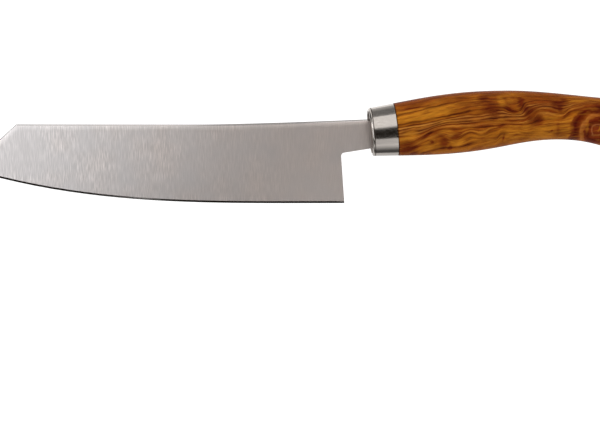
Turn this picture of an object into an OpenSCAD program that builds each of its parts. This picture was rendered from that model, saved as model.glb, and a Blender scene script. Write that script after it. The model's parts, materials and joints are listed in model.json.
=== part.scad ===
// Chef's knife with a slanted nose, a short neck, an oval steel ferrule and a curved wooden handle.
// The blade, its neck and its hidden tang are one forging. The handle's turned tenon sits in the
// ferrule, a slotted plate closes the ferrule round the tang, and cured adhesive beds the tang.
// Frame: the origin is the heel, where the cutting edge ends, in the middle plane of the blade.
// +X runs to the butt of the handle, +Z to the spine, and Y is the thickness.

/* [Blade] */
// Length of the blade from its tip to the heel
blade_length = 180; // [150:1:220]
// Height of the straight part of the spine above the heel
spine_height = 37.8; // [30:0.1:50]
// Distance from the heel back to where the spine starts to rise
spine_straight_from = 70; // [40:1:110]
// Rise of the spine from its straight part to the ferrule
spine_rise = 2.6; // [0.5:0.1:6]
// Length of the straight part of the cutting edge, next to the heel
edge_straight = 20; // [0:1:60]
// Height of the tip above the heel
tip_rise = 16.5; // [6:0.1:24]
// Angle of the slanted nose above the line of the edge
nose_angle = 42.4; // [30:0.1:70]
// Lean of the heel's rear edge away from the handle
heel_lean = 4.1; // [0:0.1:12]

/* [Grind] */
// Thickness at the spine above the heel
spine_thickness = 2.6; // [1.8:0.1:4]
// Thickness at the spine's front end, where the nose starts
nose_thickness = 2.2; // [1.4:0.1:2.6]
// Thickness just behind the cutting edge at the heel
behind_edge = 0.4; // [0.4:0.05:1]
// Width left flat along the honed edge
honed_width = 0.05; // [0.02:0.01:0.1]
// Angle of each honed bevel from the middle plane
bevel_angle = 14; // [10:1:22]

/* [Neck and tang] */
// Distance from the heel to the centre of the ferrule's front
neck_length = 12.4; // [8:0.1:25]
// Height of the neck where it meets the ferrule
neck_height = 14; // [10:0.1:20]
// Height of the neck's top above the handle's axis
neck_above_axis = 6.2; // [5:0.1:9]
// Slope of the neck's underside, up to the ferrule
neck_slope = 9; // [0:0.5:20]
// Distance over which the corner between neck and heel is rounded
notch_reach = 1.6; // [0.5:0.1:5]
// Length of the tang behind the neck
tang_length = 75; // [50:1:85]
// Height of the tang at the neck
tang_height = 8; // [6:0.1:9]
// Height of the tang at its end
tang_end_height = 5; // [3:0.1:6]
// Thickness of the tang
tang_thickness = 1.8; // [1.2:0.1:2]

/* [Ferrule] */
// Length of the ferrule along the handle's axis
ferrule_length = 12.5; // [8:0.1:20]
// Height of the ferrule at its front
ferrule_front_height = 23.2; // [21:0.1:28]
// Width of the ferrule at its front
ferrule_front_width = 19.5; // [19:0.1:24]
// Height of the ferrule at the wood
ferrule_rear_height = 25.4; // [22:0.1:30]
// Width of the ferrule at the wood
ferrule_rear_width = 21; // [19:0.1:26]
// Radius of the ferrule's rounded front edge
lip_radius = 0.9; // [0.3:0.1:1.2]
// Width of the rim round the front plate, rounded edge included
rim_width = 1.3; // [1.2:0.1:1.8]
// Depth of the front plate below the rim
plate_depth = 0.4; // [0.2:0.1:1]
// Thickness of the front plate
plate_thickness = 1.5; // [1:0.1:3]

/* [Handle] */
// Length of ferrule and handle together, along the axis
handle_length = 129; // [112:1:150]
// Upward tilt of the handle's axis
handle_tilt = 6; // [0:0.5:12]
// Distance along the axis from the ferrule's front to where the handle starts to bend down
bend_from = 66; // [50:1:90]
// Radius of that bend
bend_radius = 172; // [120:1:400]
// Distance along the axis from the ferrule's front to the thickest place
belly_at = 44; // [30:1:60]
// Height of the handle at its thickest
belly_height = 29; // [25:0.1:34]
// Width of the handle at its thickest
belly_width = 23.5; // [20:0.1:28]
// Distance along the axis from the ferrule's front to the slimmest place
waist_at = 102; // [85:1:108]
// Height of the handle at its slimmest
waist_height = 21.8; // [18:0.1:26]
// Width of the handle at its slimmest
waist_width = 19.5; // [16:0.1:24]
// Height of the handle at its butt
butt_height = 24.5; // [20:0.1:30]
// Width of the handle at its butt
butt_width = 21.5; // [18:0.1:26]
// Radius of the butt's rounded edge
butt_radius = 5; // [2:0.5:7]
// Diameter of the tenon that sits in the ferrule
tenon_diameter = 15.5; // [12:0.1:16]
// Diameter of the bore for the tang
bore_diameter = 10; // [9.5:0.1:11]
// Depth of the bore past the end of the tang
bore_spare = 2; // [1:0.5:5]

/* [Fits] */
// Gap all round a piece that is set in another
fit_gap = 0.05; // [0.02:0.01:0.15]
// Gap between the tang and the plate's slot
slot_gap = 0.1; // [0.05:0.05:0.3]
// Gap between the tenon's end and the front plate
tenon_gap = 0.2; // [0.1:0.1:1]
// Width of the broken edges where ferrule and wood meet
edge_break = 0.25; // [0.1:0.05:0.6]

/* [Hidden] */

edge_steps = 20;
spine_steps = 12;
corner_steps = 4;
oval_sides = 48;
body_steps = 27;
round_steps = 4;

// Squareness of the oval sections: 2 is an ellipse
oval_power = 2.2;
// How fast the edge and the spine leave their straight parts
edge_curve = 3;
spine_curve = 1.4;
// Room that a cutting shape has past the piece that it cuts
spare = 1;

// Centre of the ferrule's front, in the plane of the blade
axis_start = [neck_length, spine_height + spine_rise - neck_above_axis];
along = [cos(handle_tilt), sin(handle_tilt)];
upward = [-sin(handle_tilt), cos(handle_tilt)];
// Where the blade's shoulders rest on the front plate, and where that plate ends
shoulder_at = plate_depth;
plate_end = plate_depth + plate_thickness;
tang_end = shoulder_at + tang_length;
bore_end = tang_end + bore_spare;

// Point at a distance along the handle's straight axis and a height above it
function off_axis(distance, height) = axis_start + along * distance + upward * height;

neck_top = off_axis(shoulder_at, neck_above_axis);
neck_foot = off_axis(shoulder_at, neck_above_axis - neck_height);
tip = [-blade_length, tip_rise];
nose_top = [tip[0] + (spine_height - tip_rise) / tan(nose_angle), spine_height];

// Side of the blade: each flat side widens steadily towards the spine and towards the handle
side_slope_z = (spine_thickness - behind_edge) / 2 / spine_height;
side_slope_x = (spine_thickness - nose_thickness) / 2 / -nose_top[0];
stock_half = behind_edge / 2 + side_slope_z * neck_top[1] + side_slope_x * tang_end * along[0] + spare;
cut_reach = blade_length + handle_length;

// Outline of the blade, its neck and its tang

function edge_height(distance) =
    tip_rise * pow((distance - edge_straight) / (blade_length - edge_straight), edge_curve);

function spine_point(share) =
    let (x = -spine_straight_from + share * (neck_top[0] + spine_straight_from))
    [x, spine_height + (neck_top[1] - spine_height) * pow(share, spine_curve)];

// Smooth corner from a to b, bent towards the corner point
function corner(a, point, b) = [
    for (i = [0:corner_steps])
        let (t = i / corner_steps)
        pow(1 - t, 2) * a + 2 * t * (1 - t) * point + pow(t, 2) * b
];

// Cutting edge from the tip to the heel
edge_line = concat(
    [
        for (i = [0:edge_steps])
            let (distance = blade_length + (edge_straight - blade_length) * i / edge_steps)
            [-distance, edge_height(distance)]
    ],
    edge_straight > 0 ? [[0, 0]] : []
);

// The heel's rear edge and the neck's underside are straight lines that meet in the notch
heel_way = [-sin(heel_lean), cos(heel_lean)];
neck_way = [cos(neck_slope), sin(neck_slope)];
heel_rear = (neck_foot[1] * neck_way[0] - neck_foot[0] * neck_way[1])
    / (heel_way[1] * neck_way[0] - heel_way[0] * neck_way[1]);
notch_point = heel_way * heel_rear;

notch_line = corner(
    notch_point - heel_way * notch_reach,
    notch_point,
    notch_point + neck_way * notch_reach
);

tang_line = [
    neck_foot,
    off_axis(shoulder_at, -tang_height / 2),
    off_axis(plate_end, -tang_height / 2),
    off_axis(tang_end - tang_end_height / 2, -tang_end_height / 2),
    off_axis(tang_end, 0),
    off_axis(tang_end - tang_end_height / 2, tang_end_height / 2),
    off_axis(plate_end, tang_height / 2),
    off_axis(shoulder_at, tang_height / 2)
];

spine_line = [for (i = [spine_steps:-1:0]) spine_point(i / spine_steps)];

// Oval sections of the ferrule and the handle

function ease(t) = (1 - cos(180 * t)) / 2;

function axis_angle(distance) =
    handle_tilt - max(0, distance - bend_from) / bend_radius * 180 / PI;

function axis_point(distance) =
    let (angle = axis_angle(distance), bend_start = off_axis(bend_from, 0))
    distance <= bend_from
        ? off_axis(distance, 0)
        : bend_start + bend_radius * [sin(handle_tilt) - sin(angle), cos(angle) - cos(handle_tilt)];

// Size of the wood at a distance along the axis, from its sizes at the ferrule, belly, waist and butt
function wood_size(distance, start, belly, waist, butt) =
    distance < belly_at
        ? start + (belly - start) * sin(90 * (distance - ferrule_length) / (belly_at - ferrule_length))
    : distance < waist_at
        ? belly + (waist - belly) * ease((distance - belly_at) / (waist_at - belly_at))
    : waist + (butt - waist) * ease((distance - waist_at) / (handle_length - waist_at));

function wood_section(distance) = [
    wood_size(distance, ferrule_rear_width, belly_width, waist_width, butt_width),
    wood_size(distance, ferrule_rear_height, belly_height, waist_height, butt_height)
];

function ferrule_section(distance) =
    let (share = distance / ferrule_length)
    [
        ferrule_front_width + (ferrule_rear_width - ferrule_front_width) * share,
        ferrule_front_height + (ferrule_rear_height - ferrule_front_height) * share
    ];

function bulge(value) = sign(value) * pow(abs(value), 2 / oval_power);

// Outline of an oval of this width and height
function oval(size) = [
    for (i = [0:oval_sides - 1])
        let (angle = 360 * i / oval_sides)
        [size[0] / 2 * bulge(cos(angle)), size[1] / 2 * bulge(sin(angle))]
];

// An oval section set square to the axis
function ring(distance, size) =
    let (centre = axis_point(distance), angle = axis_angle(distance))
    [for (p = oval(size)) [centre[0] - p[1] * sin(angle), p[0], centre[1] + p[1] * cos(angle)]];

// Rings at these angles round a rounded edge, as [distance from the end face, inset]
function rounded(radius) = [
    for (i = [0:round_steps])
        let (angle = 90 * i / round_steps)
        [radius * (1 - cos(angle)), radius * (1 - sin(angle))]
];

ferrule_rings = concat(
    [for (r = rounded(lip_radius)) ring(r[0], ferrule_section(r[0]) - 2 * r[1] * [1, 1])],
    [ring(ferrule_length - edge_break, ferrule_section(ferrule_length - edge_break))],
    [ring(ferrule_length, ferrule_section(ferrule_length) - 2 * edge_break * [1, 1])]
);

body_start = ferrule_length + edge_break;
body_end = handle_length - butt_radius;

wood_rings = concat(
    [ring(ferrule_length, wood_section(ferrule_length) - 2 * edge_break * [1, 1])],
    [
        for (i = [0:body_steps - 1])
            let (distance = body_start + (body_end - body_start) * i / body_steps)
            ring(distance, wood_section(distance))
    ],
    [
        for (i = [round_steps:-1:0])
            let (r = rounded(butt_radius)[i], distance = handle_length - r[0])
            ring(distance, wood_section(distance) - 2 * r[1] * [1, 1])
    ]
);

// Shapes that the pieces share

// A plate of this thickness with its outline in the plane of the blade
module upright_plate(outline, thickness) {
    rotate([90, 0, 0])
        linear_extrude(height = thickness, center = true)
            polygon(outline);
}

// Sets its children at a distance along the handle's straight axis, with +X along that axis
module on_axis(distance) {
    start = off_axis(distance, 0);
    translate([start[0], 0, start[1]])
        rotate([0, -handle_tilt, 0])
            children();
}

// A round rod along the axis
module axis_rod(diameter, from, to) {
    on_axis(from)
        rotate([0, 90, 0])
            cylinder(d = diameter, h = to - from, $fn = 96);
}

// An oval block along the axis, with upright oval sections
module axis_oval(size, from, to) {
    on_axis(from)
        rotate([90, 0, 90])
            linear_extrude(height = to - from)
                polygon(oval(size));
}

// A closed skin through oval rings, from the first to the last
module skin(rings) {
    last = len(rings) - 1;
    sides = oval_sides;
    polyhedron(
        points = [for (r = rings) each r],
        faces = concat(
            [[for (k = [0:sides - 1]) k]],
            [
                for (i = [0:last - 1], k = [0:sides - 1])
                    let (a = i * sides + k, b = i * sides + (k + 1) % sides)
                    each [[a, a + sides, b + sides], [a, b + sides, b]]
            ],
            [[for (k = [sides - 1:-1:0]) last * sides + k]]
        )
    );
}

// Everything outside one flat side of the blade
module beyond_side() {
    slope = sqrt(1 + pow(side_slope_x, 2) + pow(side_slope_z, 2));
    translate([0, behind_edge / 2, 0])
        rotate([-asin(side_slope_z / slope), 0, atan(side_slope_x)])
            translate([-cut_reach, 0, -cut_reach])
                cube([2 * cut_reach, 2 * stock_half, 2 * cut_reach]);
}

// Everything outside one side of the tang
module beyond_tang() {
    on_axis(shoulder_at)
        translate([0, tang_thickness / 2, -neck_height])
            cube([tang_length + spare, stock_half, 2 * neck_height]);
}

// What honing takes off one side, along one stretch of the edge
module honing(from, to) {
    run = to - from;
    reach = spine_thickness / sin(bevel_angle);
    translate([from[0], honed_width / 2, from[1]])
        rotate([0, -atan2(run[1], run[0]), 0])
            rotate([-bevel_angle, 0, 0])
                translate([-spare, 0, -spare])
                    cube([norm(run) + 2 * spare, spine_thickness, reach]);
}

module both_sides() {
    children();
    mirror([0, 1, 0])
        children();
}

// The forging before its edge is honed
module blade_blank() {
    difference() {
        upright_plate(concat(edge_line, notch_line, tang_line, [neck_top], spine_line, [nose_top]), 2 * stock_half);
        both_sides() {
            beyond_side();
            beyond_tang();
        }
    }
}

// The pieces

module blade() {
    color("silver")
        difference() {
            blade_blank();
            both_sides()
                for (i = [0:len(edge_line) - 2])
                    honing(edge_line[i], edge_line[i + 1]);
        }
}

module ferrule() {
    color("lightgray")
        difference() {
            skin(ferrule_rings);
            axis_oval(ferrule_section(0) - 2 * rim_width * [1, 1], -spare, plate_end);
            axis_rod(tenon_diameter + 2 * fit_gap, plate_end - spare, ferrule_length + spare);
        }
}

module ferrule_plate() {
    slot = [plate_thickness + 2 * spare, tang_thickness + 2 * slot_gap, tang_height + 2 * slot_gap];
    color("darkgray")
        difference() {
            axis_oval(ferrule_section(0) - 2 * (rim_width + fit_gap) * [1, 1], plate_depth, plate_end);
            on_axis(plate_depth + plate_thickness / 2)
                cube(slot, center = true);
        }
}

module handle() {
    color("peru")
        difference() {
            union() {
                skin(wood_rings);
                axis_rod(tenon_diameter, plate_end + tenon_gap, ferrule_length + spare);
            }
            axis_rod(bore_diameter, plate_end, bore_end);
        }
}

module tang_bedding() {
    color("khaki")
        difference() {
            axis_rod(bore_diameter, plate_end, bore_end);
            blade_blank();
        }
}

blade();
ferrule();
ferrule_plate();
handle();
tang_bedding();
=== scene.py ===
"""Looks of a chef's knife: a ground steel blade, a polished steel ferrule and an olive-wood handle.

Sizes in the classes are millimetres, in the knife's own frame: the origin is the heel of the blade, +X
runs to the butt of the handle, +Z to the spine, and Y is the thickness. Blender works in metres, and MM
and PER_METRE turn one into the other.
"""

from __future__ import annotations

import json
import logging
import math
from collections.abc import Callable, Iterable, Iterator, Sequence
from dataclasses import dataclass, field
from enum import Enum
from functools import partial

import bmesh
import bpy
from mathutils import Matrix, Vector


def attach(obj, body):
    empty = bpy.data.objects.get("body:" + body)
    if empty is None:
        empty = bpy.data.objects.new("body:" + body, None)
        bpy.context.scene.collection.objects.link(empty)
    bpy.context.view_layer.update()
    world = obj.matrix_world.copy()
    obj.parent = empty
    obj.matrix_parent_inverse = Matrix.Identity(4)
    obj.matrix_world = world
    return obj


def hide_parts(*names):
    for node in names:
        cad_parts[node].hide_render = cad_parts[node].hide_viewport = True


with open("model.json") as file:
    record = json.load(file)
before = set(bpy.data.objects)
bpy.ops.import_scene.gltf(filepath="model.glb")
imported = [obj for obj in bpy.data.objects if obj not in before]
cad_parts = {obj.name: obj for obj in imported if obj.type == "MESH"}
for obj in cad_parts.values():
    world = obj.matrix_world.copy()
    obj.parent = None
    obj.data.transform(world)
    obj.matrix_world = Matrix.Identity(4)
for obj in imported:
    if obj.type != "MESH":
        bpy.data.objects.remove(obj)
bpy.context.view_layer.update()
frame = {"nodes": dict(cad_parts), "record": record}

LOG = logging.getLogger("chefs_knife")

# Metres in a millimetre, and millimetres in a metre
MM = 0.001
PER_METRE = 1000
# Points that lie closer than this are one
WELD = 1e-4
# Squareness of a circle or an ellipse
ROUND = 2.0
WHITE = "#ffffff"
BODY = "root"

Pair = tuple[float, float]
Triple = tuple[float, float, float]
Stops = Sequence[tuple[float, str]]
Shape = bmesh.types.BMesh
Object = bpy.types.Object
Socket = bpy.types.NodeSocket
Value = float | Sequence[float] | Socket
# add_node for one tree
Adder = Callable[..., Socket]


def linear(code: str) -> tuple[float, float, float, float]:
    """Turns an sRGB hex colour into the linear colour that a shader takes.

    Args:
        code: Colour as #rrggbb.

    Returns:
        Red, green, blue and an opacity of 1.
    """
    shares = [int(code[i : i + 2], 16) / 255 for i in (1, 3, 5)]
    light = [s / 12.92 if s <= 0.04045 else ((s + 0.055) / 1.055) ** 2.4 for s in shares]
    return (light[0], light[1], light[2], 1.0)


def add_node(
    tree: bpy.types.NodeTree,
    kind: str,
    inputs: Sequence[Value] | dict[str | int, Value] = (),
    out: str | int = 0,
    **settings: object,
) -> Socket | None:
    """Adds one node with its settings and links.

    Args:
        tree: Node tree that takes the node.
        kind: Blender's name of the node, without its ShaderNode prefix.
        inputs: What the first inputs hold, in order, or some inputs by name. A socket is linked.
        out: Name or number of the output that is returned.
        settings: Properties of the node.

    Returns:
        That output of the new node, or None where the node has no output.
    """
    node = tree.nodes.new("ShaderNode" + kind)
    for name, value in settings.items():
        setattr(node, name, value)
    for key, value in inputs.items() if isinstance(inputs, dict) else enumerate(inputs):
        if isinstance(value, Socket):
            tree.links.new(value, node.inputs[key])
        else:
            node.inputs[key].default_value = value
    return node.outputs[out] if node.outputs else None


def empty_tree(owner: bpy.types.Material | bpy.types.World) -> Adder:
    """Empties the node tree of a material or world and returns add_node for it."""
    owner.use_nodes = True
    owner.node_tree.nodes.clear()
    return partial(add_node, owner.node_tree)


def set_ramp(colour: Socket, stops: Stops) -> None:
    """Gives the Color Ramp of this output its stops, each a place from 0 to 1 and a hex colour."""
    ramp = colour.node.color_ramp
    while len(ramp.elements) < len(stops):
        ramp.elements.new(1.0)
    for element, (place, code) in zip(ramp.elements, stops):
        element.position = place
        element.color = linear(code)


def link_object(name: str, data: bpy.types.ID) -> Object:
    """Links a new object to the scene and returns it."""
    made = bpy.data.objects.new(name, data)
    bpy.context.scene.collection.objects.link(made)
    return made


@dataclass(frozen=True)
class Finish:
    """A material, started from what the real one is."""

    name: str

    def material(self) -> bpy.types.Material:
        """Makes the material, or returns it where it is made already."""
        made = bpy.data.materials.get(self.name)
        if not made:
            made = bpy.data.materials.new(self.name)
            add = empty_tree(made)
            add("OutputMaterial", {"Surface": self.surface(add)})
        return made

    def surface(self, add: Adder) -> Socket:
        """Adds the nodes of the surface and returns the shader's output."""
        raise NotImplementedError


def link_shape(shape: Shape, name: str, finishes: Iterable[Finish]) -> Object:
    """Makes an object of a mesh in metres, which is freed, with these finishes by material number."""
    mesh = bpy.data.meshes.new(name)
    shape.to_mesh(mesh)
    shape.free()
    for finish in finishes:
        mesh.materials.append(finish.material())
    return link_object(name, mesh)


@dataclass(frozen=True)
class BrushedSteel(Finish):
    """Stainless steel with the fine parallel scratches that a belt or a polishing wheel leaves.

    The scratches are too fine to show from a step away, so they are drawn a few times coarser.
    """

    colour: str = "#c8c3c1"
    warm: str = "#c4b8b1"
    roughness: float = 0.42
    roughness_spread: float = 0.08
    scratch_width: float = 0.28
    scratch_length: float = 5.0
    scratch_depth: float = 0.006
    detail: float = 2.0
    # How much the scratches change the tone near the heel and near the tip
    scratch_tone: Pair = (0.08, 0.36)
    tone_from: float = -20.0
    tone_to: float = -145.0
    # Noise of the darkest and of the palest scratch, and how dark the darkest is
    scratch_range: Pair = (0.42, 0.72)
    darkest: float = -0.45
    across: bool = True
    cloud_size: float = 16.0
    cloud_tone: Pair = (0.88, 1.12)
    # The belt bit harder in some places than in others
    bite_range: Pair = (0.38, 0.62)
    bite: Pair = (0.5, 1.3)
    # Share of the warm colour, and what the tip loses of it: a painted cool tint of the light that falls
    # on the tip
    warmth: float = 0.3
    tip_painted_cool_light: float = 0.8
    edge_tint: str = WHITE

    def surface(self, add: Adder) -> Socket:
        """Adds the nodes of the steel and returns the shader's output."""
        place = add("TexCoord", out="Object")
        narrow, long = (PER_METRE / size for size in (self.scratch_width, self.scratch_length))
        stretch = (narrow, long, long) if self.across else (long, narrow, narrow)
        streaks = add("Mapping", {"Vector": place, "Scale": stretch})
        scratches, clouds = (
            add("TexNoise", {"Vector": where, "Scale": scale, "Detail": self.detail})
            for where, scale in ((streaks, 1.0), (place, PER_METRE / self.cloud_size))
        )
        along = add("SeparateXYZ", (place,))
        near_tip = add("MapRange", (along, self.tone_from * MM, self.tone_to * MM))
        # Less warm towards the tip, where the cool tint of the light is painted into the colour
        painted_cool_light = add("Math", (near_tip, -self.tip_painted_cool_light, clouds), operation="MULTIPLY_ADD")
        warmth = add("Math", (painted_cool_light, self.warmth), operation="ADD", use_clamp=True)
        colours = {"Factor": warmth, "A": linear(self.colour), "B": linear(self.warm)}
        tint = add("Mix", colours, "Result", data_type="RGBA")
        strength = add("MapRange", (near_tip, 0.0, 1.0, *self.scratch_tone))
        bite = add("MapRange", (clouds, *self.bite_range, *self.bite))
        uneven = add("Math", (strength, bite), operation="MULTIPLY")
        signed = add("MapRange", (scratches, *self.scratch_range, self.darkest))
        base = add("MapRange", (clouds, 0.0, 1.0, *self.cloud_tone))
        tone = add("Math", (signed, uneven, base), operation="MULTIPLY_ADD")
        smoothest = self.roughness - self.roughness_spread
        roughest = self.roughness + self.roughness_spread
        steel = {
            "Base Color": add("VectorMath", {0: tint, "Scale": tone}, operation="SCALE"),
            "Metallic": 1.0,
            "Roughness": add("MapRange", (scratches, 0.0, 1.0, smoothest, roughest)),
            "Specular Tint": linear(self.edge_tint),
            "Normal": add("Bump", {"Height": scratches, "Distance": self.scratch_depth * MM}),
        }
        return add("BsdfPrincipled", steel)


@dataclass(frozen=True)
class Patch:
    """A soft-edged oval place in the wood, seen from the left side of the handle.

    along is its distance from the ferrule's front and above its height over the straight axis.
    """

    along: float
    above: float
    half_length: float
    half_height: float
    strength: float = 1.0
    tilt: float = 0.0


@dataclass(frozen=True)
class GrowthLine:
    """One growth line of the wood: its level in the tree's growth, and where it runs on the left side.

    points are distances from the ferrule's front and heights over the straight axis.
    """

    level: float
    points: tuple[Pair, ...]


@dataclass(frozen=True)
class Streaks:
    """Noise drawn out along the wood: the size of a feature each way, and what the noise becomes.

    spread is the lowest and the highest value that count, and what those two turn into.
    """

    size: Triple
    spread: tuple[float, float, float, float]


@dataclass(frozen=True)
class OliveWood(Finish):
    """Olive wood, sanded fine and oiled: golden wood with dark wavy growth lines that part round knots.

    The oil gives the eye a deep, saturated colour under a low gloss. The figure is drawn in plank
    coordinates: X along the handle's straight axis, Y the depth from its left side, Z the height over it.
    """

    origin: Triple
    tilt: float
    left_side: float = -11.0
    roughness: float = 0.42
    specular_level: float = 0.04
    pore_depth: float = 0.01
    # Oil and dust darken the joint with the ferrule, together with painted shade of the joint line
    start_at: float = 12.5
    joint_width: float = 0.45
    joint_dirt_and_shade_tone: float = 0.25
    # Length and height that the curves of the growth lines cover
    reach: float = 140.0
    span: float = 60.0
    golden: str = "#b4721a"
    plain: str = "#8e4c08"
    brown: str = "#6e2e04"
    plain_stops: Triple = (0.35, 0.5, 0.62)
    # What a dark place leaves of the wood's colour
    stain: str = "#a8705c"
    detail: float = 2.0
    # Size of the wood's irregularities and how far they push a line
    wobble_size: float = 6.0
    wobble_reach: float = 0.9
    wobble_detail: float = 1.5
    # How fast the figure drifts along and up with the depth
    drift_along: float = 0.1
    drift_above: float = 0.05
    bow: float = 0.012
    # The levels shift a little, so that a line thins, fades and comes back
    shift: Streaks = Streaks((14.0, 14.0, 0.8), (0.3, 0.7, -0.18, 0.18))
    # Where a line fades, plain wood shows
    fading: Streaks = Streaks((11.0, 11.0, 2.6), (0.5, 0.7, 0.0, 0.4))
    ragged: Streaks = Streaks((6.0, 6.0, 0.5), (0.0, 1.0, -0.7, 0.7))
    # Fine lines between the main ones
    fine: Streaks = Streaks((12.0, 12.0, 0.8), (0.5, 0.38, 0.0, 0.5))
    fibre: Streaks = Streaks((6.0, 3.0, 0.8), (0.3, 0.7, 0.78, 1.22))
    # Where a patch starts to show from its rim inwards, and where it is full
    patch_edge: Pair = (0.05, 0.7)
    # How many times longer a patch is through the wood, so that both sides of the handle show it
    patch_depth: float = 10.0
    lines: tuple[GrowthLine, ...] = (
        GrowthLine(13, (
            (12, 14), (45, 16), (66, 15.5), (80, 13.5), (95, 10.5), (110, 7), (130, 0),
        )),
        GrowthLine(8, (
            (12, 6.2), (17, 7), (24, 8), (30, 8.8), (36, 9.7), (45, 10.4), (55, 10.3),
            (63, 9.8), (80, 8.8), (95, 6.6), (110, 4.6), (130, -2),
        )),
        GrowthLine(3.5, (
            (12, 1.8), (19, 2.3), (27, 2.8), (32, 3.5), (39, 3.9), (46, 4.7), (58, 5.2),
            (63, 5.1), (66.5, 3), (69.5, 2.4), (72.2, 3), (73.6, 5.2), (76, 6.6), (84, 6.6),
            (92, 5.2), (100, 5.6), (110, 4.1), (130, -3),
        )),
        GrowthLine(2.3, (
            (12, 0.1), (19, 0.5), (26, 0.8), (32, 1.7), (39, 2.4), (52, 2.6), (60, 3.2),
            (63.5, 3), (66, 2), (69.5, 1.3), (72, 1.4), (73.5, 2.9), (75, 4.7), (78, 5),
            (84, 5.2), (91, 4), (95, 3.6), (101, 4.7), (110, 3.6), (130, -4),
        )),
        GrowthLine(0.5, (
            (12, -2.2), (20, -1.8), (26, -1.2), (31, -0.2), (38, 0.4), (45, 0), (52, 0.2),
            (64, 0.3), (70, -0.2), (73.5, -0.2), (76, 1.8), (79, 3.2), (85, 3.6), (91, 1.4),
            (95, 1.9), (101, 2.9), (110, 3), (130, -5),
        )),
        GrowthLine(-1.5, (
            (12, -4.2), (18.5, -4.5), (24, -3.7), (28.5, -2), (31.5, -1.2), (38, -0.9),
            (45, -1.3), (58, -1.6), (64, -2.3), (74, -2.6), (78, -0.8), (80, 0.7), (84, 1.1),
            (90, -0.5), (93.5, -0.3), (96, 1.3), (101, 2.1), (110, 2.2), (130, -6),
        )),
        GrowthLine(-3, (
            (12, -6.9), (18.8, -6.5), (22, -5.4), (25.7, -4), (29.5, -2.9), (32, -2.4),
            (36, -2.5), (42, -2.9), (52, -3.3), (58, -3.4), (62, -3.2), (70, -3.7), (75, -4.3),
            (80, -3.1), (89, -2.9), (92, -2.6), (95, -0.6), (101, 0.5), (110, 0.5), (130, -8),
        )),
        GrowthLine(-6, (
            (12, -9.5), (20, -8.6), (28, -6.4), (33, -5.6), (37, -7), (40, -7.6), (42, -7),
            (44, -5.8), (47, -4.9), (49.3, -5.7), (51, -6.5), (53.5, -6.3), (56, -5.1),
            (59, -4.4), (62, -4.3), (70, -5.3), (75, -6.2), (82, -5.7), (90, -5.5), (95, -6),
            (110, -6), (130, -12),
        )),
        GrowthLine(-9, (
            (12, -11.8), (20, -12.4), (33, -10.8), (37, -11), (44, -11), (48, -10), (55, -9.3),
            (59.5, -9.3), (61.5, -7.3), (65, -7.6), (70, -7.6), (75, -8.2), (90, -9), (110, -10),
            (130, -16),
        )),
        GrowthLine(-15, (
            (12, -18), (45, -18), (66, -15), (80, -14), (95, -16), (110, -20), (130, -27),
        )),
    )
    # Colour of the wood by its level of growth
    bands: Stops = (
        (-15, "#8a4a0e"), (-10, "#985810"), (-9.4, "#8e4e0c"), (-9, "#602a04"), (-8.5, "#98580e"),
        (-7.2, "#96560e"), (-6.4, "#8e4c0a"), (-6.05, "#602a02"), (-5.8, "#8a480a"), (-5.2, "#a8681c"),
        (-4.3, "#8a480a"), (-3.4, "#7c3a04"), (-3.05, "#4a1600"), (-2.7, "#7e3c06"), (-1.9, "#ac6c24"),
        (-1.2, "#7c3806"), (-0.7, "#501a00"), (-0.1, "#a26424"), (0.5, "#4a1600"), (1.2, "#aa6c28"),
        (1.8, "#501a00"), (2.2, "#b0722c"), (2.6, "#5a2000"), (3, "#8c4e0e"), (3.5, "#4a1600"),
        (3.9, "#844808"), (5, "#a46616"), (7.3, "#a46414"), (8, "#602e02"), (8.6, "#90520e"),
        (13, "#743406"),
    )
    eye: Pair = (108.7, -10.5)
    eye_edge: Pair = (13.9, 13.0)
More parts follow.
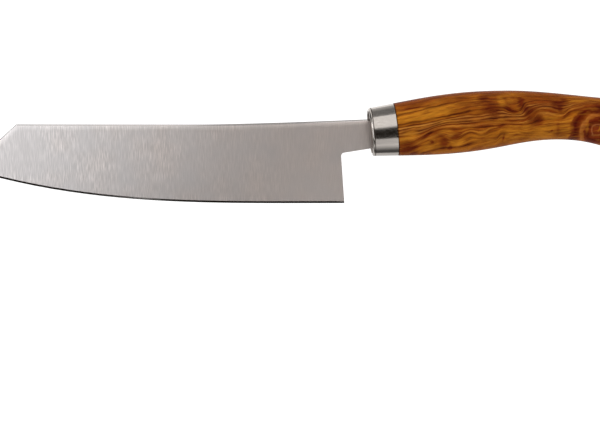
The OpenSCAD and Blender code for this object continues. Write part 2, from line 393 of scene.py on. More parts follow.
    # The eye's rings lie closer to each other on the ferrule's side
    eye_stretch: float = 0.55
    eye_depth: float = 0.2
    ring_bend: Streaks = Streaks((4.0, 12.0, 4.0), (0.0, 1.0, -1.5, 1.5))
    rings: Stops = (
        (0, "#762e0c"), (2.2, "#6c2806"), (2.8, "#8e5028"), (3.4, "#6e2a06"), (4.6, "#561600"),
        (6, "#662406"), (6.8, "#8e4e18"), (8.1, "#9a5a20"), (8.9, "#743408"), (9.6, "#5c1e00"),
        (11.2, "#4c0e00"), (12.8, "#682a06"), (13.9, "#7c3e08"),
    )
    dark_places: tuple[Patch, ...] = (
        Patch(21, 9.3, 11, 0.6, 1, 2.8), Patch(17, -9.5, 7, 4.6, 0.75), Patch(20, -12, 3.4, 2.4, 0.9),
        Patch(34.2, -8.6, 3.8, 4, 0.85), Patch(40, -6.2, 5.5, 1.8, 0.9, 18),
        Patch(37.2, -11.2, 1.8, 1.6, 0.9), Patch(28.2, -7.6, 1.4, 0.8, 0.6, -30),
        Patch(26, -4.6, 5, 1.2, 0.8, 34), Patch(33, -5.4, 3.6, 0.8, 0.7, 6),
        Patch(46.5, -10.6, 3.4, 1.2, 0.5, 6), Patch(54.6, 10.4, 4, 2.4, 0.6),
        Patch(57.6, 6, 6, 4.6, 0.5), Patch(59, 3.6, 5, 2, 0.8), Patch(58.8, 0.8, 3.8, 2.4, 0.6),
        Patch(66.9, 3.7, 5.6, 1.6, 1, -26), Patch(72.8, 6, 2.6, 5, 1), Patch(74.6, 3.4, 2.4, 3.4, 0.7),
        Patch(76, 1.6, 3.4, 2.2, 0.6, 30), Patch(62, -3.6, 3.4, 1.2, 0.8, 12),
        Patch(63, -9.4, 0.9, 3, 0.7, -8), Patch(76.4, -2.2, 2.4, 2.2, 0.6),
        Patch(79.6, -2.8, 4.2, 3.4, 0.8), Patch(81.2, -1.8, 1.3, 1.4, 0.6),
        Patch(91.2, 2.2, 2, 3.4, 0.9), Patch(90.4, 3.8, 5, 3.6, 0.6), Patch(94, -1.8, 4.2, 1, 0.6, 36),
        Patch(89.7, -8, 1.3, 5.5, 0.35), Patch(86.8, -8.1, 1.1, 0.8, 0.8),
        Patch(85.6, -8.8, 0.8, 0.6, 0.5), Patch(94, 5.4, 3, 2.6, 0.5), Patch(110, -2, 6, 2, 0.5),
    )
    # Broad places that are browner than the rest
    brown_places: tuple[Patch, ...] = (
        Patch(22, 10.6, 16, 2.8, 0.55, 3), Patch(16.5, -10, 7, 4, 0.5), Patch(44, 11, 16, 3.4, 0.5),
        Patch(50, 1.5, 17, 6, 0.4), Patch(48, 7.6, 12, 3.8, 0.75), Patch(58, 7, 9, 9, 0.85),
        Patch(68.5, 6, 8, 7, 0.8), Patch(82, 7.6, 22, 6, 0.85, -6), Patch(77.5, 0.5, 8, 7, 0.8),
        Patch(91, 4, 9, 7, 0.85), Patch(102, 3, 11, 4, 0.65), Patch(66, -1, 7, 3.4, 0.35),
    )
    golden_places: tuple[Patch, ...] = (
        Patch(20, 8.1, 10, 0.6, 1, 4.6), Patch(22, 4.6, 19, 3.4, 0.55),
        Patch(16.5, -4.6, 7, 3, 0.75, 16), Patch(34.5, -3.6, 4.4, 1.4, 0.7),
        Patch(28.4, -7, 2.2, 1.6, 0.4), Patch(26.5, -9.4, 4, 3.2, 0.5),
        Patch(42, -9.6, 4, 2.2, 0.7, 12), Patch(51, -8, 8, 3.4, 0.4), Patch(63.4, 8.2, 2.4, 4, 0.5, 12),
        Patch(68, 8.4, 2.6, 2.4, 0.4), Patch(73.8, -5.6, 4, 2.6, 0.6), Patch(87, -2, 6.6, 1.9, 0.65),
        Patch(68.5, -7.7, 6, 0.6, 0.9), Patch(67, -4.3, 5.5, 0.5, 0.8), Patch(84, -8, 11, 6, 0.55),
        Patch(93.2, -7.6, 4.4, 4.6, 0.6), Patch(68, -7.5, 9, 4, 0.4),
        Patch(101.5, 4.6, 7, 0.9, 0.8, -3), Patch(109.8, -9, 3.4, 0.7, 0.7, 60),
        Patch(103.6, -8.5, 1.2, 4.5, 0.4),
    )

    def add_streaks(self, add: Adder, place: Socket, streaks: Streaks) -> tuple[Socket, Socket]:
        """Adds drawn-out noise, and returns it as it is and as what it becomes."""
        scale = tuple(1 / length for length in streaks.size)
        scaled = add("Mapping", {"Vector": place, "Scale": scale})
        noise = add("TexNoise", {"Vector": scaled, "Scale": 1.0, "Detail": self.detail})
        return noise, add("MapRange", (noise, *streaks.spread))

    def add_patches(
        self, add: Adder, place: Socket, ragged: Socket, patches: Iterable[Patch]
    ) -> Socket:
        """Adds soft ovals.

        Args:
            add: Adds a node.
            place: Plank coordinates.
            ragged: What makes their edges uneven, round 0.
            patches: The ovals.

        Returns:
            The strength of the strongest at each point.
        """
        strongest: Value = 0.0
        for patch in patches:
            through = patch.half_length * self.patch_depth
            oval = {
                "Vector": place,
                "Location": (patch.along, 0.0, patch.above),
                "Rotation": (0.0, -math.radians(patch.tilt), 0.0),
                "Scale": (patch.half_length, through, patch.half_height),
            }
            local = add("Mapping", oval, vector_type="TEXTURE")
            ball = add("TexGradient", (local,), "Fac", gradient_type="SPHERICAL")
            uneven = add("Math", (ball, ragged), operation="ADD")
            soft = add("MapRange", (uneven, *self.patch_edge, 0.0, patch.strength))
            strongest = add("Math", (soft, strongest), operation="MAXIMUM")
        return strongest

    def add_height(self, add: Adder, along: Socket, line: GrowthLine) -> Socket:
        """Adds the height of a growth line over the straight axis, by the distance along it."""
        share = add("Math", (along, 1 / self.reach), operation="MULTIPLY")
        curved = add("FloatCurve", {"Value": share})
        mapping = curved.node.mapping
        points = mapping.curves[0].points
        while len(points) < len(line.points):
            points.new(1.0, 0.5)
        for point, (x, y) in zip(points, line.points):
            point.location = (x / self.reach, y / self.span + 0.5)
        mapping.update()
        return add("Math", (curved, self.span, -self.span / 2), operation="MULTIPLY_ADD")

    def add_level(self, add: Adder, along: Socket, above: Socket) -> Socket:
        """Adds the level of growth, which rises steadily from one growth line to the next."""
        heights = [self.add_height(add, along, line) for line in self.lines]
        level: Value = self.lines[-1].level
        for line, lower, top, bottom in zip(self.lines, self.lines[1:], heights, heights[1:]):
            risen = add("MapRange", (above, bottom, top, 0.0, line.level - lower.level))
            level = add("Math", (risen, level), operation="ADD")
        return level

    def add_banded(self, add: Adder, value: Socket, stops: Stops) -> Socket:
        """Adds a colour that follows a value in millimetres through these stops."""
        low, high = stops[0][0], stops[-1][0]
        share = add("MapRange", (value, low, high))
        colour = add("ValToRGB", (share,))
        colour.node.color_ramp.interpolation = "EASE"
        set_ramp(colour, [((place - low) / (high - low), code) for place, code in stops])
        return colour

    def add_plank(self, add: Adder) -> Socket:
        """Adds the plank coordinates."""
        turn = Matrix.Rotation(math.radians(self.tilt), 3, "Y")
        plank = {
            "Vector": add("TexCoord", out="Object"),
            "Location": -(turn @ Vector(self.origin)) - Vector((0, self.left_side, 0)),
            "Rotation": (0.0, math.radians(self.tilt), 0.0),
            "Scale": (PER_METRE,) * 3,
        }
        return add("Mapping", plank)

    def add_drifted(self, add: Adder, plank: Socket, depth: Socket) -> Socket:
        """Adds the plank coordinates with a wobble and with the drift of the figure."""
        fine = {"Vector": plank, "Scale": 1 / self.wobble_size, "Detail": self.wobble_detail}
        wobble = add("TexNoise", fine, "Color")
        reach = Vector((self.wobble_reach, 0.0, self.wobble_reach))
        pushed = add("VectorMath", (wobble, reach, plank), operation="MULTIPLY_ADD")
        centred = add("VectorMath", (pushed, reach / 2), operation="SUBTRACT")
        way = (self.drift_along, 0.0, self.drift_above)
        drift = add("VectorMath", {0: way, "Scale": depth}, operation="SCALE")
        return add("VectorMath", (centred, drift), operation="ADD")

    def add_lined(self, add: Adder, flow: Socket, level: Socket) -> Socket:
        """Adds the colour of the growth lines, with plain wood where they fade."""
        _, shift = self.add_streaks(add, flow, self.shift)
        shifted = add("Math", (level, shift), operation="ADD")
        banded = self.add_banded(add, shifted, self.bands)
        broad, fade = self.add_streaks(add, flow, self.fading)
        plain = add("ValToRGB", (broad,))
        set_ramp(plain, tuple(zip(self.plain_stops, (self.brown, self.plain, self.golden))))
        return add("Mix", {"Factor": fade, "A": banded, "B": plain}, "Result", data_type="RGBA")

    def add_eye(self, add: Adder, plank: Socket, drifted: Socket, lined: Socket) -> Socket:
        """Adds rings round the eye near the butt.

        Args:
            add: Adds a node.
            plank: Plank coordinates.
            drifted: The same with their wobble and drift.
            lined: Colour of the wood round the eye.

        Returns:
            The colour with the eye.
        """
        centre = (self.eye[0], 0.0, self.eye[1])
        to_eye = add("VectorMath", (drifted, centre), operation="SUBTRACT")
        beside, into, over = add("SeparateXYZ", (to_eye,)).node.outputs
        wide = add("Math", (beside, self.eye_stretch), operation="MULTIPLY")
        close = add("Math", (beside, wide), operation="MINIMUM")
        deep = add("Math", (into, self.eye_depth), operation="MULTIPLY")
        flat = add("CombineXYZ", (close, deep, over))
        radius = add("VectorMath", (flat,), "Value", operation="LENGTH")
        _, bend = self.add_streaks(add, plank, self.ring_bend)
        bent = add("Math", (radius, bend), operation="ADD")
        ringed = self.add_banded(add, bent, self.rings)
        inside = add("MapRange", (bent, *self.eye_edge))
        return add("Mix", {"Factor": inside, "A": lined, "B": ringed}, "Result", data_type="RGBA")

    def add_places(self, add: Adder, flow: Socket, drifted: Socket, figured: Socket) -> Socket:
        """Adds the brown, golden and dark places and the fine lines.

        Args:
            add: Adds a node.
            flow: Coordinates along, through and across the growth lines.
            drifted: Plank coordinates with their wobble and drift.
            figured: Colour of the wood so far.

        Returns:
            The colour with its places.
        """
        _, ragged = self.add_streaks(add, flow, self.ragged)
        shade = figured
        for code, patches in ((self.brown, self.brown_places), (self.golden, self.golden_places)):
            places = self.add_patches(add, drifted, ragged, patches)
            mixed = {"Factor": places, "A": shade, "B": linear(code)}
            shade = add("Mix", mixed, "Result", data_type="RGBA")
        _, fine = self.add_streaks(add, flow, self.fine)
        places = self.add_patches(add, drifted, ragged, self.dark_places)
        dark = add("Math", (places, fine), operation="ADD", use_clamp=True)
        stained = {"Factor": dark, "A": shade, "B": linear(self.stain)}
        return add("Mix", stained, "Result", data_type="RGBA", blend_type="MULTIPLY")

    def surface(self, add: Adder) -> Socket:
        """Adds the nodes of the wood and returns the shader's output."""
        plank = self.add_plank(add)
        straight, depth, _ = add("SeparateXYZ", (plank,)).node.outputs
        drifted = self.add_drifted(add, plank, depth)
        along, through, above = add("SeparateXYZ", (drifted,)).node.outputs
        squared = add("Math", (depth, depth), operation="MULTIPLY")
        bowed = add("Math", (squared, self.bow, above), operation="MULTIPLY_ADD")
        level = self.add_level(add, along, bowed)
        flow = add("CombineXYZ", (along, through, level))
        lined = self.add_lined(add, flow, level)
        figured = self.add_eye(add, plank, drifted, lined)
        shade = self.add_places(add, flow, drifted, figured)
        pores, tone = self.add_streaks(add, flow, self.fibre)
        # Darker wood next to the ferrule: oil and dust, and painted shade of the joint
        joint_to = self.start_at + self.joint_width
        joint = add("MapRange", (straight, self.start_at, joint_to, self.joint_dirt_and_shade_tone))
        for scale in (tone, joint):
            shade = add("VectorMath", {0: shade, "Scale": scale}, operation="SCALE")
        wood = {
            "Base Color": shade,
            "Roughness": self.roughness,
            "Specular IOR Level": self.specular_level,
            "Normal": add("Bump", {"Height": pores, "Distance": self.pore_depth * MM}),
        }
        return add("BsdfPrincipled", wood)


@dataclass(frozen=True)
class CuredAdhesive(Finish):
    """Epoxy resin, poured in and cured: dull, honey-coloured and a little cloudy."""

    clear: str = "#a08a58"
    cloudy: str = "#b8a476"
    cloud_size: float = 3.0
    detail: float = 3.0
    roughness: float = 0.55
    ripple_depth: float = 0.05

    def surface(self, add: Adder) -> Socket:
        """Adds the nodes of the resin and returns the shader's output."""
        place = add("TexCoord", out="Object")
        scale = PER_METRE / self.cloud_size
        clouds = add("TexNoise", {"Vector": place, "Scale": scale, "Detail": self.detail})
        mixed = {"Factor": clouds, "A": linear(self.clear), "B": linear(self.cloudy)}
        resin = {
            "Base Color": add("Mix", mixed, "Result", data_type="RGBA"),
            "Roughness": self.roughness,
            "Normal": add("Bump", {"Height": clouds, "Distance": self.ripple_depth * MM}),
        }
        return add("BsdfPrincipled", resin)


class Steel(Enum):
    """The steel finishes of the knife."""

    GROUND = BrushedSteel("ground_blade_steel")
    HONED = BrushedSteel(
        "honed_edge_steel", colour="#c4c0bd", warm="#bdb7b4", roughness=0.1, roughness_spread=0.03,
        scratch_width=0.3, scratch_length=0.6, scratch_depth=0.0005, scratch_tone=(0.03, 0.03),
    )
    POLISHED = BrushedSteel(
        "polished_ferrule_steel", colour="#c4beb8", warm="#beb6af", roughness=0.14,
        roughness_spread=0.05, scratch_width=0.25, scratch_length=7.0, scratch_depth=0.001,
        scratch_tone=(0.1, 0.1), across=False,
    )
    ROUNDED = BrushedSteel(
        "polished_spine_steel", colour="#c0bcba", warm="#bcb5b1", roughness=0.2, roughness_spread=0.04,
        scratch_depth=0.001, scratch_tone=(0.04, 0.04),
    )
    # The groove, which the polishing wheel doesn't reach, so it is rougher; its dark colour is painted
    # shade of the groove
    GROOVE_SHADE = BrushedSteel(
        "groove_painted_shade_steel", colour="#5a4f48", warm="#52463f", roughness=0.5, roughness_spread=0.05,
        scratch_width=0.1, scratch_length=8.0, scratch_depth=0.002, scratch_tone=(0.1, 0.1),
        across=False,
    )
    SATIN = BrushedSteel(
        "satin_plate_steel", colour="#7c7671", warm="#756e69", roughness=0.24, roughness_spread=0.04,
        scratch_width=0.3, scratch_depth=0.002, scratch_tone=(0.08, 0.08), edge_tint="#a09a94",
    )


@dataclass
class HandleAxis:
    """The middle line of the handle: straight from the ferrule, then bent down on an arc.

    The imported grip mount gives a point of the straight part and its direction.
    """

    grip_at: float = 44.0
    bend_from: float = 66.0
    bend_radius: float = 172.0

    def __post_init__(self) -> None:
        """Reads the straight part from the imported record."""
        grip = next(m for m in frame["record"]["mounts"] if m["name"] == "hand_grip")
        self.direction = Vector(grip["axis"]).normalized()
        self.start = Vector(grip["pos_m"]) * PER_METRE - self.direction * self.grip_at

    @property
    def tilt(self) -> float:
        """Upward angle of the straight part, in radians."""
        return math.asin(self.direction.z)

    def section(self, distance: float) -> Matrix:
        """Gives the place of a cross-section.

        Args:
            distance: How far along the axis it lies from the ferrule's front.

        Returns:
            A matrix that sets a flat outline, with X its width and Y its height, square to the axis.
        """
        angle = self.tilt - max(0.0, distance - self.bend_from) / self.bend_radius
        point = self.start + self.direction * min(distance, self.bend_from)
        point.x += self.bend_radius * (math.sin(self.tilt) - math.sin(angle))
        point.z += self.bend_radius * (math.cos(angle) - math.cos(self.tilt))
        upright = Matrix(((0, 0, 1, 0), (1, 0, 0, 0), (0, 1, 0, 0), (0, 0, 0, 1)))
        return Matrix.Translation(point) @ Matrix.Rotation(-angle, 4, "Y") @ upright


def shrunk(sizes: Iterable[float], inset: float) -> Iterator[float]:
    """Yields each size less the same inset at both of its ends."""
    return (size - 2 * inset for size in sizes)


def quarter_round(radius: float, steps: int) -> Iterator[Pair]:
    """Yields how far each point of a quarter of a circle lies from the lines that it joins."""
    for i in range(steps + 1):
        angle = math.pi / 2 * i / steps
        yield radius * (1 - math.cos(angle)), radius * (1 - math.sin(angle))


@dataclass
class OvalSkin:
    """A closed skin through oval or round rings along the handle's axis."""

    axis: HandleAxis
    sides: int = 96
    # Squareness of an oval, from ROUND upwards
    squareness: float = 2.2
    shape: Shape = field(default_factory=bmesh.new)
    first: Sequence[bmesh.types.BMEdge] = ()
    last: Sequence[bmesh.types.BMEdge] = ()

    def add_ring(
        self, distance: float, width: float, height: float, squareness: float = 0.0, finish: int = 0
    ) -> None:
        """Adds a ring and joins it to the one before.

        Args:
            distance: Place along the axis.
            width: Width across the thickness of the knife.
            height: Height.
            squareness: Squareness of this ring, or 0 for the skin's own.
            finish: Number of the finish of the faces that join it to the one before.
        """
        share = ROUND / (squareness or self.squareness)
        verts = bmesh.ops.create_circle(self.shape, segments=self.sides, radius=1.0)["verts"]
        for vert in verts:
            vert.co.x = math.copysign(abs(vert.co.x) ** share, vert.co.x) * width / 2
            vert.co.y = math.copysign(abs(vert.co.y) ** share, vert.co.y) * height / 2
        bmesh.ops.transform(self.shape, matrix=self.axis.section(distance), verts=verts)
        # In the order of the ring, so that every run closes the ends alike
        ring = list(dict.fromkeys(edge for vert in verts for edge in vert.link_edges))
        if self.last:
            for face in bmesh.ops.bridge_loops(self.shape, edges=[*self.last, *ring])["faces"]:
                face.material_index = finish
        else:
            self.first = ring
        self.last = ring

    def cap_ends(self) -> None:
        """Closes the last ring and the first one with a face each."""
        for ring in (self.last, self.first):
            bmesh.ops.edgeloop_fill(self.shape, edges=ring)

    def join_ends(self) -> None:
        """Joins the last ring to the first one, which lies in the same place."""
        bmesh.ops.remove_doubles(self.shape, verts=self.shape.verts, dist=WELD)

    def in_metres(self) -> Shape:
        """Scales the skin from millimetres to metres and returns its mesh."""
        bmesh.ops.scale(self.shape, vec=(MM, MM, MM), verts=self.shape.verts)
        return self.shape


def finish_piece(
    shape: Shape,
    name: str,
    node: str,
    finishes: Sequence[Finish],
    sharp_over: float = 30.0,
) -> Object:
    """Turns a mesh into a piece that stands for a CAD node.

    Args:
        shape: The mesh in metres, which is freed.
        name: Name of the piece.
        node: CAD node that it stands for.
        finishes: Its finishes, by material number.
        sharp_over: Angle between two faces, in degrees, over which their edge stays sharp.

    Returns:
        The piece, which rides on the knife's one body.
    """
    bmesh.ops.recalc_face_normals(shape, faces=shape.faces)
    for face in shape.faces:
        face.smooth = True
    for edge in shape.edges:
        one_finish = len({face.material_index for face in edge.link_faces}) == 1
        edge.smooth = one_finish and edge.calc_face_angle(math.pi) < math.radians(sharp_over)
    piece = link_shape(shape, name, finishes)
    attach(piece, BODY)
    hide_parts(node)
    return piece


@dataclass(frozen=True)
class FlatSide:
    """The plane of one of the blade's flat sides, in metres."""

    normal: Vector
    point: Vector

    def half_thickness(self, x: float, z: float) -> float:
        """Returns how far the side lies from the middle plane at this place."""
        reach = self.normal.dot(self.point)
        return abs((reach - self.normal.x * x - self.normal.z * z) / self.normal.y)


@dataclass
class Blade:
    """The forging: the flat-ground blade, its neck and its hidden tang.

    The shape is the CAD node's own. Its spine and nose are rounded as a stone leaves them, and its
    other edges stay crisp.
    """

    length: float = 180.0
    round_height: float = 3.0
    # Share of the spine's thickness that its two roundings take
    round_share: float = 0.62
    round_steps: int = 16
    # Height of the honed band at the heel and at the tip, which a whetstone keeps nearly even
    honed_heights: Pair = (1.0, 0.9)
    edge_half_thickness: float = 0.04
    # Angles in degrees: faces within the first are one face, and over the second an edge is sharp
    flat_within: float = 0.05
    sharp_over: float = 25.0
    # How far a face of the blade faces down, up or sideways, from 0 to 1
    least_bevel_tilt: float = 0.1
    least_side_tilt: float = 0.01
    polished_rise: float = 0.22
    spine_rise: float = 0.6
    spine_top: float = 0.02
    bevel_sideways: float = 0.8
    side_sideways: float = 0.99

    def build(self) -> Object:
        """Makes the piece and returns it."""
        shape = bmesh.new()
        shape.from_mesh(frame["nodes"]["blade"].data)
        bmesh.ops.remove_doubles(shape, verts=shape.verts, dist=WELD * MM)
        bmesh.ops.dissolve_limit(
            shape, angle_limit=math.radians(self.flat_within), verts=shape.verts, edges=shape.edges
        )
        bmesh.ops.recalc_face_normals(shape, faces=shape.faces)
        spine = [edge for edge in shape.edges if self.is_spine(edge)]
        flat = max(spine[0].link_faces, key=lambda face: abs(face.normal.y))
        side = FlatSide(flat.normal.copy(), flat.verts[0].co.copy())
        self.even_honed(shape, side)
        self.round_spine(shape, spine, side)
        for face in shape.faces:
            face.normal_update()
            up, sideways = face.normal.z, abs(face.normal.y)
            rounded = up > self.polished_rise and sideways > self.spine_top
            face.material_index = 1 if self.is_honed(face) else 2 if rounded else 0
        finishes = (Steel.GROUND.value, Steel.HONED.value, Steel.ROUNDED.value)
        piece = finish_piece(shape, "blade_forging", "blade", finishes, self.sharp_over)
        weighted = piece.modifiers.new("flat_sides", "WEIGHTED_NORMAL")
        weighted.keep_sharp = True
        return piece

    def is_honed(self, face: bmesh.types.BMFace) -> bool:
        """Says whether a face belongs to the honed band."""
        normal = face.normal
        return normal.z < -self.least_bevel_tilt and abs(normal.y) > self.bevel_sideways

    def is_spine(self, edge: bmesh.types.BMEdge) -> bool:
        """Says whether an edge lies between a flat side and the spine or the nose."""
        if len(edge.link_faces) != 2:
            return False
        normals = [face.normal for face in edge.link_faces]
        on_side = any(
            abs(n.y) > self.side_sideways and abs(n.z) > self.least_side_tilt for n in normals
        )
        return on_side and any(n.z > self.spine_rise for n in normals)

    def even_honed(self, shape: Shape, side: FlatSide) -> None:
        """Slides the upper border of the honed band along the flat side, so that it is nearly even.

        Args:
            shape: The blade, in metres.
            side: Its flat side.
        """
        heel, tip = self.honed_heights
        for face in filter(self.is_honed, shape.faces):
            low = [vert for vert in face.verts if abs(vert.co.y) < self.edge_half_thickness * MM]
            for vert in face.verts:
                if vert in low:
                    continue
                under = min(low, key=lambda other: abs(other.co.x - vert.co.x)).co
                share = -under.x / (self.length * MM)
                height = heel * (1 - share) + tip * share
                way = (vert.co - under) * (height * MM / (vert.co.z - under.z))
                x, z = under.x + way.x, under.z + way.z
                vert.co = (x, math.copysign(side.half_thickness(x, z), vert.co.y), z)

    def round_spine(
        self, shape: Shape, spine: list[bmesh.types.BMEdge], side: FlatSide
    ) -> None:
        """Rounds the spine and the nose.

        The blade is made a slab of even thickness, rounded and thinned again, so that each rounding
        is an upright half oval that follows the taper.

        Args:
            shape: The blade, in metres.
            spine: Its edges to round.
            side: Its flat side.
        """
        slab = self.round_height * MM / self.round_share
        for vert in shape.verts:
            vert.co.y *= slab / side.half_thickness(vert.co.x, vert.co.z)
        bmesh.ops.bevel(
            shape,
            geom=spine,
            affect="EDGES",
            offset=self.round_height * MM,
            segments=self.round_steps,
            profile=0.5,
            material=-1,
            loop_slide=True,
            clamp_overlap=True,
        )
        for vert in shape.verts:
            vert.co.y *= side.half_thickness(vert.co.x, vert.co.z) / slab


@dataclass
class Ferrule:
    """The oval steel ring at the front of the handle, with a rounded polished front edge."""

    axis: HandleAxis
    length: float = 12.5
    front: Pair = (19.5, 23.2)
    rear: Pair = (21.0, 25.4)
    lip_radius: float = 0.9
    lip_steps: int = 8
    rim_width: float = 1.3
    pocket_depth: float = 1.9
    # The pocket's mouth widens: distance of its two corners and how far each lies out of the wall
    mouth: tuple[Pair, ...] = ((0.3, 0.0), (0.05, 0.05))
    bore: float = 15.6
    edge_break: float = 0.25
    # The fine groove turned behind the front edge: distance and depth of its four corners
    groove: tuple[Pair, ...] = ((1.05, 0.0), (1.1, 0.22), (1.35, 0.22), (1.4, 0.0))

    def size_at(self, distance: float) -> Pair:
        """Returns the width and height of the ferrule at a distance along the axis."""
        share = distance / self.length
        width, height = (a + (b - a) * share for a, b in zip(self.front, self.rear))
        return width, height

    def rings(self) -> Iterator[tuple[float, ...]]:
        """Yields what add_ring takes for each ring: forward through the bore, then back outside."""
        rear_of_bore = (self.length, self.bore, self.bore, ROUND)
        pocket = tuple(shrunk(self.front, self.rim_width))
        yield rear_of_bore
        yield self.pocket_depth, self.bore, self.bore, ROUND
        yield self.pocket_depth, *pocket
        for distance, widening in self.mouth:
            yield distance, *shrunk(pocket, -widening)
        for distance, inset in quarter_round(self.lip_radius, self.lip_steps):
            yield distance, *shrunk(self.size_at(distance), inset)
        for number, (distance, depth) in enumerate(self.groove):
            yield distance, *shrunk(self.size_at(distance), depth), 0.0, 1 if number else 0
        full_to = self.length - self.edge_break
        yield full_to, *self.size_at(full_to)
        yield self.length, *shrunk(self.rear, self.edge_break)
        yield rear_of_bore

    def build(self) -> Object:
        """Makes the piece and returns it."""
        skin = OvalSkin(self.axis)
        for ring in self.rings():
            skin.add_ring(*ring)
        skin.join_ends()
        # The second finish is the groove's painted shade
        finishes = (Steel.POLISHED.value, Steel.GROOVE_SHADE.value)
        return finish_piece(skin.in_metres(), "ferrule_ring", "ferrule", finishes)


@dataclass
class Handle:
    """The one-piece wooden handle, with its tenon in the ferrule and its bore for the tang."""

    axis: HandleAxis
    start_at: float = 12.5
    belly_at: float = 44.0
    waist_at: float = 102.0
    length: float = 129.0
    start: Pair = (21.0, 25.4)
    belly: Pair = (23.5, 29.0)
    waist: Pair = (19.5, 21.8)
    butt: Pair = (21.5, 24.5)
    butt_radius: float = 5.0
    butt_steps: int = 12
    edge_break: float = 0.25
    tenon: float = 15.5
    tenon_from: float = 2.1
    bore: float = 10.0
    bore_to: float = 77.4
    body_steps: int = 72
    sharp_over: float = 40.0

    def size_at(self, distance: float) -> Pair:
        """Returns the width and height of the wood at a distance along the axis."""
        if distance < self.belly_at:
            share = (distance - self.start_at) / (self.belly_at - self.start_at)
            low, high, eased = self.start, self.belly, math.sin(math.pi / 2 * share)
        elif distance < self.waist_at:
            share = (distance - self.belly_at) / (self.waist_at - self.belly_at)
            low, high, eased = self.belly, self.waist, (1 - math.cos(math.pi * share)) / 2
        else:
            share = (distance - self.waist_at) / (self.length - self.waist_at)
            low, high, eased = self.waist, self.butt, (1 - math.cos(math.pi * share)) / 2
        width, height = (a + (b - a) * eased for a, b in zip(low, high))
        return width, height

    def rings(self) -> Iterator[tuple[float, ...]]:
        """Yields what add_ring takes for each ring: forward from the bore's end, then back outside."""
        yield self.bore_to, self.bore, self.bore, ROUND
        yield self.tenon_from, self.bore, self.bore, ROUND
        yield self.tenon_from, self.tenon, self.tenon, ROUND
        yield self.start_at, self.tenon, self.tenon, ROUND
        yield self.start_at, *shrunk(self.start, self.edge_break)
        first = self.start_at + self.edge_break
        last = self.length - self.butt_radius
        for i in range(self.body_steps):
            distance = first + (last - first) * i / self.body_steps
            yield distance, *self.size_at(distance)
        for inset, short in quarter_round(self.butt_radius, self.butt_steps):
            distance = self.length - short
            yield distance, *shrunk(self.size_at(distance), inset)

    def build(self) -> Object:
        """Makes the piece and returns it."""
        skin = OvalSkin(self.axis)
        for ring in self.rings():
            skin.add_ring(*ring)
        skin.cap_ends()
        wood = OliveWood(
            "oiled_olive_wood", origin=tuple(self.axis.start), tilt=math.degrees(self.axis.tilt)
        )
        return finish_piece(
            skin.in_metres(), "handle_wood", "handle", (wood,), self.sharp_over
        )


@dataclass
class CarriedNode:
    """A CAD node that is shown as it is, with a finish of its own."""

    node: str
    finish: Finish

    def build(self) -> Object:
        """Gives the node its finish and returns it."""
        piece = frame["nodes"][self.node]
        piece.data.materials.clear()
        piece.data.materials.append(self.finish.material())
        return piece


def add_seen(add: Adder) -> Socket:
    """Adds a value that is 1 for rays from the camera, from gloss and through glass."""
    rays = add("LightPath").node.outputs
    seen = rays["Is Camera Ray"]
    for name in ("Is Glossy Ray", "Is Transmission Ray"):
        seen = add("Math", (seen, rays[name]), operation="MAXIMUM")
    return seen


@dataclass(frozen=True)
class PaintedTable(Finish):
    """A table painted matt white, which glows for the camera and the steel, to look evenly lit."""

    brightness: float
    paint: str = "#f4f4f4"
    glow_share: float = 0.8

    def surface(self, add: Adder) -> Socket:
        """Adds the nodes of the table and returns the shader's output."""
        paint = add("BsdfDiffuse", {"Color": linear(self.paint)})
        glow = add("Emission", {"Color": linear(WHITE), "Strength": self.brightness})
        share = add("Math", (add_seen(add), self.glow_share), operation="MULTIPLY")
        return add("MixShader", (share, paint, glow))


@dataclass(frozen=True)
class GlowingCard(Finish):
    """A translucent card, lit evenly from behind."""

    colour: str
    brightness: float

    def surface(self, add: Adder) -> Socket:
        """Adds the node of the glow and returns its output."""
        return add("Emission", {"Color": linear(self.colour), "Strength": self.brightness})


@dataclass(frozen=True)
class Card:
    """A plain card bent round the knife's length, seen only in its steel, as in a photographer's tent.

    low and high are its elevations, from 0 in front over 90 overhead, or below by negative angles. left
    and right are its ends along X, and height is that of the line it is bent round.
    """

    name: str
    low: float
    high: float
    radius: float
    brightness: float
    left: float = -1500.0
    right: float = 1500.0
    colour: str = WHITE
    height: float = 25.0
    steps: int = 24

    def build(self) -> None:
        """Sets up the card."""
        shape = bmesh.new()
        ends = [shape.verts.new((x * MM, -self.radius * MM, 0)) for x in (self.left, self.right)]
        rod = shape.edges.new(ends)
        tilt = Matrix.Rotation(-math.radians(self.low), 3, "X")
        bmesh.ops.rotate(shape, verts=ends, matrix=tilt)
        bmesh.ops.spin(
            shape,
            geom=[*ends, rod],
            axis=(1, 0, 0),
            angle=-math.radians(self.high - self.low),
            steps=self.steps,
        )
        bmesh.ops.translate(shape, vec=(0, 0, self.height * MM), verts=shape.verts)
        glow = GlowingCard(self.name, self.colour, self.brightness)
        piece = link_shape(shape, self.name, (glow,))
        piece.visible_camera = False
        piece.visible_diffuse = False
        piece.visible_shadow = False


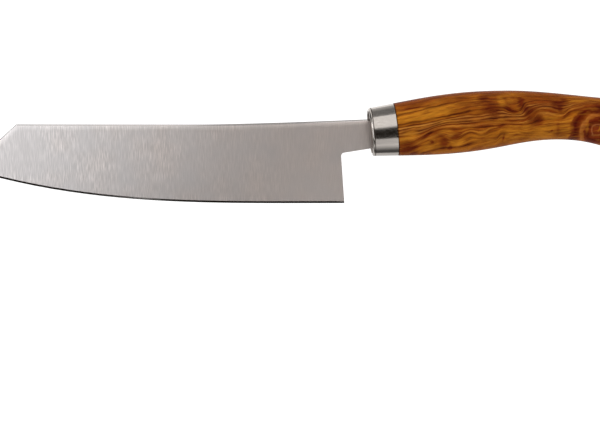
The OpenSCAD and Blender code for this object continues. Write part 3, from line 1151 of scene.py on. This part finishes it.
@dataclass
class Studio:
    """A white table and backdrop, soft light and the camera."""

    aim: Triple = (-21.44, 0.0, -6.67)
    distance: float = 750.0
    yaw: float = 3.0
    pitch: float = 2.0
    sensor: float = 36.0
    lens: float = 93.35
    floor_drop: float = 400.0
    floor_size: float = 12000.0
    # Brightness of the backdrop as a light, and as the camera and the steel see it
    ambient: float = 0.8
    white: float = 1.2
    lamp_place: Triple = (0.0, -600.0, 900.0)
    lamp_aim: Triple = (0.0, 0.0, 30.0)
    lamp_size: Pair = (1200.0, 800.0)
    lamp_watts: float = 6.0
    cards: tuple[Card, ...] = (
        Card("black_front_card", -25, 5, 600, 0.015, -130, 1500, "#ffe0c0"),
        Card("dim_front_card", 5, 9, 600, 0.3, -130, 1500),
        Card("dim_heel_card", 9, 60, 150, 0.6, -70, -10),
        Card("fill_heel_card", -25, -18, 150, 1.1, -40, 14),
        Card("fill_neck_card", -25, -12, 590, 2.1, 95, 260),
        Card("bright_left_card", -45, 8, 550, 2, -520, -235, "#f4f7fb"),
        Card("glow_left_card", 8, 34, 540, 3.1, -520, -250, "#f4f7fb"),
        Card("black_edge_card", -50, -25, 150, 0.015, -400, 12, "#ffe0c0"),
        Card("dark_left_card", -40, 8, 600, 0.15, -1200, -560),
        Card("bright_nose_card", 8, 27, 600, 2.6, -1500, -560),
        Card("dark_nose_card", 27, 185, 590, 0.1, -1500, -400),
        Card("pale_spine_card", 50, 120, 570, 1.1, -380, -75),
        Card("dim_top_card", 56, 64, 600, 0.3),
        Card("dark_top_card", 64, 96, 600, 0.2),
        Card("grey_top_card", 96, 108, 600, 0.35),
        Card("pale_top_card", 108, 126, 600, 0.55),
        Card("grey_front_card", -47, -25, 400, 0.78),
        Card("white_low_card", -57, -47, 400, 0.9),
        Card("pale_low_card", -64, -57, 400, 0.74),
        Card("grey_low_card", -71, -64, 400, 0.55),
        Card("dim_low_card", -79, -71, 400, 0.38),
        Card("dark_low_card", -87, -79, 400, 0.2),
        Card("black_low_card", -113, -87, 400, 0.1),
        Card("pale_back_card", -175, -113, 400, 0.75),
    )

    def build_camera(self) -> None:
        """Sets up the camera at the photograph's place."""
        data = bpy.data.cameras.new("camera")
        data.sensor_width = self.sensor
        data.lens = self.lens
        yaw, pitch = math.radians(self.yaw), math.radians(self.pitch)
        level = math.cos(pitch)
        look = Vector((math.sin(yaw) * level, math.cos(yaw) * level, -math.sin(pitch)))
        camera = link_object("camera", data)
        camera.location = (Vector(self.aim) - look * self.distance) * MM
        camera.rotation_euler = look.to_track_quat("-Z", "Y").to_euler()
        bpy.context.scene.camera = camera

    def build_world(self) -> None:
        """Makes a world that lights softly and is white where the camera or the steel sees it."""
        world = bpy.data.worlds.new("soft_daylight_tent")
        add = empty_tree(world)
        soft, white = (
            add("Background", {"Color": linear(WHITE), "Strength": strength})
            for strength in (self.ambient, self.white)
        )
        add("OutputWorld", {"Surface": add("MixShader", (add_seen(add), soft, white))})
        bpy.context.scene.world = world

    def build_floor(self) -> None:
        """Lays a white floor under the knife that keeps its soft shadow."""
        shape = bmesh.new()
        bmesh.ops.create_grid(shape, x_segments=1, y_segments=1, size=self.floor_size / 2 * MM)
        bmesh.ops.translate(shape, vec=(0, 0, -self.floor_drop * MM), verts=shape.verts)
        table = PaintedTable("white_table", self.white)
        floor = link_shape(shape, "floor", (table,))

    def build_lamp(self) -> None:
        """Hangs one broad lamp over the front of the knife."""
        lamp = bpy.data.lights.new("overhead_softbox", "AREA")
        lamp.shape = "RECTANGLE"
        lamp.size, lamp.size_y = (side * MM for side in self.lamp_size)
        lamp.energy = self.lamp_watts
        piece = link_object("overhead_softbox", lamp)
        piece.visible_glossy = False
        piece.location = [value * MM for value in self.lamp_place]
        way = Vector([value * MM for value in self.lamp_aim]) - piece.location
        piece.rotation_euler = way.to_track_quat("-Z", "Y").to_euler()

    def build(self) -> None:
        """Sets up the whole studio."""
        self.build_camera()
        self.build_world()
        self.build_floor()
        for card in self.cards:
            card.build()
        self.build_lamp()
        bpy.context.scene.view_settings.view_transform = "Standard"


def main() -> None:
    """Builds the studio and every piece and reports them."""
    logging.basicConfig(level=logging.INFO, format="%(message)s")
    Studio().build()
    axis = HandleAxis()
    builders = (
        Blade(),
        Ferrule(axis),
        CarriedNode("ferrule_plate", Steel.SATIN.value),
        Handle(axis),
        CarriedNode("tang_bedding", CuredAdhesive("cured_adhesive")),
    )
    for builder in builders:
        piece = builder.build()
        LOG.info("%s: %d faces", piece.name, len(piece.data.polygons))


if __name__ == "__main__":
    main()
